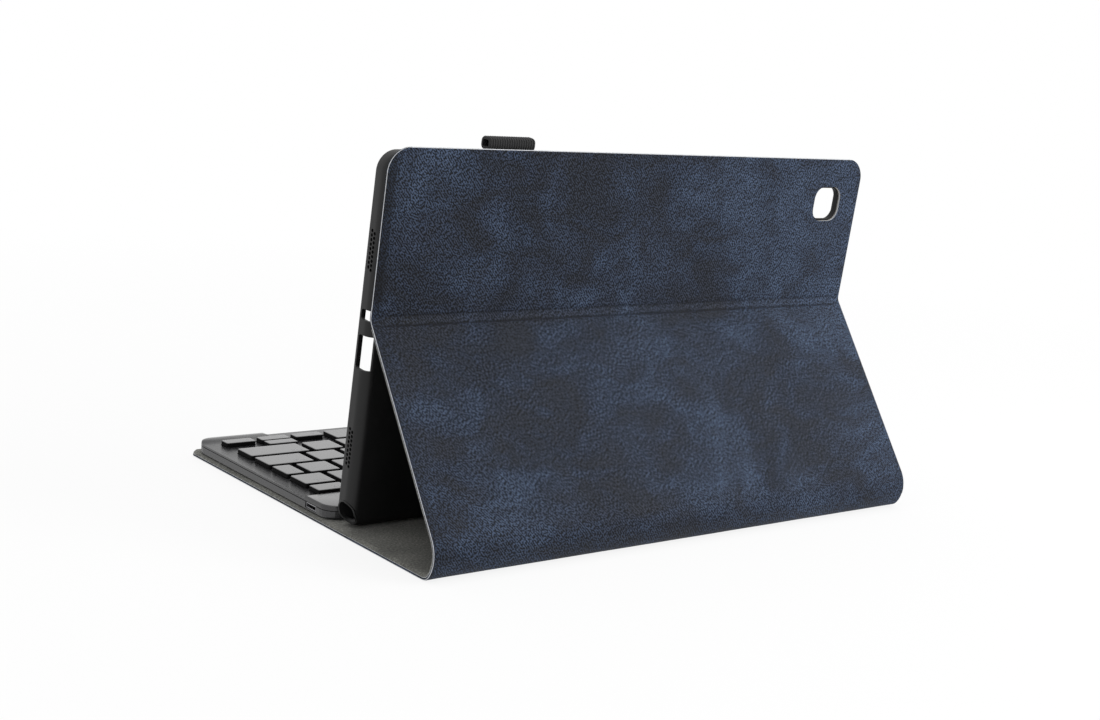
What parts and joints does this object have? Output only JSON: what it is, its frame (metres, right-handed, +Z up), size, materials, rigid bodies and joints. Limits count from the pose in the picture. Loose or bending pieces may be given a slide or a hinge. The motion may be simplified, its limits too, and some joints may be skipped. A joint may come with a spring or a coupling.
{
  "type": "tablet keyboard case",
  "caption": "Folding tablet folio with a moulded tray on a leather-look cover that folds into a stand, and a thin lift-off keyboard held on its base by magnets.",
  "frame": {"origin": "on the table, under the middle of the standing case's footprint", "axes": "+X to the typist's right, -Y towards the typist, +Z up"},
  "size_m": [0.252, 0.1928, 0.1549],
  "materials": {
    "cover_leather": "mottled suede-like grain",
    "cover_board": "plain",
    "lining": "napped microfibre",
    "bonding_sheet": "plain",
    "tray_rubber": "matt moulded",
    "loop_elastic": "ribbed elastic",
    "keyboard_case": "satin moulded",
    "keycap": "satin moulded",
    "membrane_film": "clear film",
    "circuit": "solder mask",
    "cell_foil": "satin foil",
    "plated_steel": "plated",
    "light_lens": "clear"
  },
  "bodies": {
    "base": {"base_skin": "cover_leather", "base_board": "cover_board", "base_lining": "lining", "base_magnet_left": "plated_steel", "base_magnet_right": "plated_steel"},
    "spine": {"spine_skin": "cover_leather", "spine_stiffener": "cover_board", "spine_lining": "lining"},
    "flap": {"flap_skin": "cover_leather", "flap_board": "cover_board", "flap_lining": "lining"},
    "back": {"upper_back_skin": "cover_leather", "upper_back_board": "cover_board", "tray_bonding_sheet": "bonding_sheet", "tablet_tray": "tray_rubber", "pen_loop": "loop_elastic"},
    "keyboard": {"keyboard_bottom_case": "keyboard_case", "keyboard_top_case": "keyboard_case", "key_membrane": "membrane_film", "circuit_board": "circuit", "battery": "cell_foil", "charging_port": "plated_steel", "status_light_1": "light_lens", "status_light_2": "light_lens", "keyboard_magnet_left": "plated_steel", "keyboard_magnet_right": "plated_steel"},
    "power_switch": {"power_switch": "keyboard_case"},
    "key_bank_function": {"key_bank_function": "keycap"},
    "key_f12": {"key_f12": "keycap"},
    "key_delete": {"key_delete": "keycap"},
    "key_bank_number": {"key_bank_number": "keycap"},
    "key_minus": {"key_minus": "keycap"},
    "key_equals": {"key_equals": "keycap"},
    "key_backspace": {"key_backspace": "keycap"},
    "key_bank_upper": {"key_bank_upper": "keycap"},
    "key_p": {"key_p": "keycap"},
    "key_bracket_left": {"key_bracket_left": "keycap"},
    "key_bracket_right": {"key_bracket_right": "keycap"},
    "key_backslash": {"key_backslash": "keycap"},
    "key_bank_home": {"key_bank_home": "keycap"},
    "key_l": {"key_l": "keycap"},
    "key_semicolon": {"key_semicolon": "keycap"},
    "key_quote": {"key_quote": "keycap"},
    "key_enter": {"key_enter": "keycap"},
    "key_bank_lower": {"key_bank_lower": "keycap"},
    "key_period": {"key_period": "keycap"},
    "key_slash": {"key_slash": "keycap"},
    "key_shift_right": {"key_shift_right": "keycap"},
    "key_bank_bottom": {"key_bank_bottom": "keycap"},
    "key_space": {"key_space": "keycap"},
    "key_alt_right": {"key_alt_right": "keycap"},
    "key_control_right": {"key_control_right": "keycap"},
    "key_arrow_left": {"key_arrow_left": "keycap"},
    "key_arrow_up": {"key_arrow_up": "keycap"},
    "key_arrow_down": {"key_arrow_down": "keycap"},
    "key_arrow_right": {"key_arrow_right": "keycap"}
  },
  "joints": [
    {"name": "base_fold", "type": "hinge", "parent": "base", "child": "spine", "pos_m": [0, 0.09216, 0], "axis": [1, 0, 0], "range_deg": [-71, 0]},
    {"name": "back_crease", "type": "hinge", "parent": "flap", "child": "back", "pos_m": [0, 0.04568, 0.08591], "axis": [1, 0, 0], "range_deg": [0, 40.5]},
    {"name": "flap_fold", "type": "hinge", "parent": "spine", "child": "flap", "pos_m": [0, 0.09415, 0.01669], "axis": [1, 0, 0], "range_deg": [-54, 0]},
    {"name": "keyboard_lift", "type": "slide", "parent": "base", "child": "keyboard", "axis": [0, 0, 1], "range_m": [0, 0.03]},
    {"name": "power_switch_slide", "type": "slide", "parent": "keyboard", "child": "power_switch", "axis": [0, -1, 0], "range_m": [0, 0.0025]},
    {"name": "key_bank_function_press", "type": "slide", "parent": "keyboard", "child": "key_bank_function", "axis": [0, 0, -1], "range_m": [0, 0.0012], "stiffness_N_per_m": 3000},
    {"name": "key_f12_press", "type": "slide", "parent": "keyboard", "child": "key_f12", "axis": [0, 0, -1], "range_m": [0, 0.0012], "stiffness_N_per_m": 400},
    {"name": "key_delete_press", "type": "slide", "parent": "keyboard", "child": "key_delete", "axis": [0, 0, -1], "range_m": [0, 0.0012], "stiffness_N_per_m": 400},
    {"name": "key_bank_number_press", "type": "slide", "parent": "keyboard", "child": "key_bank_number", "axis": [0, 0, -1], "range_m": [0, 0.0012], "stiffness_N_per_m": 3000},
    {"name": "key_minus_press", "type": "slide", "parent": "keyboard", "child": "key_minus", "axis": [0, 0, -1], "range_m": [0, 0.0012], "stiffness_N_per_m": 400},
    {"name": "key_equals_press", "type": "slide", "parent": "keyboard", "child": "key_equals", "axis": [0, 0, -1], "range_m": [0, 0.0012], "stiffness_N_per_m": 400},
    {"name": "key_backspace_press", "type": "slide", "parent": "keyboard", "child": "key_backspace", "axis": [0, 0, -1], "range_m": [0, 0.0012], "stiffness_N_per_m": 400},
    {"name": "key_bank_upper_press", "type": "slide", "parent": "keyboard", "child": "key_bank_upper", "axis": [0, 0, -1], "range_m": [0, 0.0012], "stiffness_N_per_m": 3000},
    {"name": "key_p_press", "type": "slide", "parent": "keyboard", "child": "key_p", "axis": [0, 0, -1], "range_m": [0, 0.0012], "stiffness_N_per_m": 400},
    {"name": "key_bracket_left_press", "type": "slide", "parent": "keyboard", "child": "key_bracket_left", "axis": [0, 0, -1], "range_m": [0, 0.0012], "stiffness_N_per_m": 400},
    {"name": "key_bracket_right_press", "type": "slide", "parent": "keyboard", "child": "key_bracket_right", "axis": [0, 0, -1], "range_m": [0, 0.0012], "stiffness_N_per_m": 400},
    {"name": "key_backslash_press", "type": "slide", "parent": "keyboard", "child": "key_backslash", "axis": [0, 0, -1], "range_m": [0, 0.0012], "stiffness_N_per_m": 400},
    {"name": "key_bank_home_press", "type": "slide", "parent": "keyboard", "child": "key_bank_home", "axis": [0, 0, -1], "range_m": [0, 0.0012], "stiffness_N_per_m": 3000},
    {"name": "key_l_press", "type": "slide", "parent": "keyboard", "child": "key_l", "axis": [0, 0, -1], "range_m": [0, 0.0012], "stiffness_N_per_m": 400},
    {"name": "key_semicolon_press", "type": "slide", "parent": "keyboard", "child": "key_semicolon", "axis": [0, 0, -1], "range_m": [0, 0.0012], "stiffness_N_per_m": 400},
    {"name": "key_quote_press", "type": "slide", "parent": "keyboard", "child": "key_quote", "axis": [0, 0, -1], "range_m": [0, 0.0012], "stiffness_N_per_m": 400},
    {"name": "key_enter_press", "type": "slide", "parent": "keyboard", "child": "key_enter", "axis": [0, 0, -1], "range_m": [0, 0.0012], "stiffness_N_per_m": 400},
    {"name": "key_bank_lower_press", "type": "slide", "parent": "keyboard", "child": "key_bank_lower", "axis": [0, 0, -1], "range_m": [0, 0.0012], "stiffness_N_per_m": 3000},
    {"name": "key_period_press", "type": "slide", "parent": "keyboard", "child": "key_period", "axis": [0, 0, -1], "range_m": [0, 0.0012], "stiffness_N_per_m": 400},
    {"name": "key_slash_press", "type": "slide", "parent": "keyboard", "child": "key_slash", "axis": [0, 0, -1], "range_m": [0, 0.0012], "stiffness_N_per_m": 400},
    {"name": "key_shift_right_press", "type": "slide", "parent": "keyboard", "child": "key_shift_right", "axis": [0, 0, -1], "range_m": [0, 0.0012], "stiffness_N_per_m": 400},
    {"name": "key_bank_bottom_press", "type": "slide", "parent": "keyboard", "child": "key_bank_bottom", "axis": [0, 0, -1], "range_m": [0, 0.0012], "stiffness_N_per_m": 3000},
    {"name": "key_space_press", "type": "slide", "parent": "keyboard", "child": "key_space", "axis": [0, 0, -1], "range_m": [0, 0.0012], "stiffness_N_per_m": 800},
    {"name": "key_alt_right_press", "type": "slide", "parent": "keyboard", "child": "key_alt_right", "axis": [0, 0, -1], "range_m": [0, 0.0012], "stiffness_N_per_m": 400},
    {"name": "key_control_right_press", "type": "slide", "parent": "keyboard", "child": "key_control_right", "axis": [0, 0, -1], "range_m": [0, 0.0012], "stiffness_N_per_m": 400},
    {"name": "key_arrow_left_press", "type": "slide", "parent": "keyboard", "child": "key_arrow_left", "axis": [0, 0, -1], "range_m": [0, 0.0012], "stiffness_N_per_m": 400},
    {"name": "key_arrow_up_press", "type": "slide", "parent": "keyboard", "child": "key_arrow_up", "axis": [0, 0, -1], "range_m": [0, 0.0012], "stiffness_N_per_m": 400},
    {"name": "key_arrow_down_press", "type": "slide", "parent": "keyboard", "child": "key_arrow_down", "axis": [0, 0, -1], "range_m": [0, 0.0012], "stiffness_N_per_m": 400},
    {"name": "key_arrow_right_press", "type": "slide", "parent": "keyboard", "child": "key_arrow_right", "axis": [0, 0, -1], "range_m": [0, 0.0012], "stiffness_N_per_m": 400}
  ],
  "couplings": [
    {"joint": "flap_fold", "follows": "back_crease", "ratio": -1.3333}
  ]
}
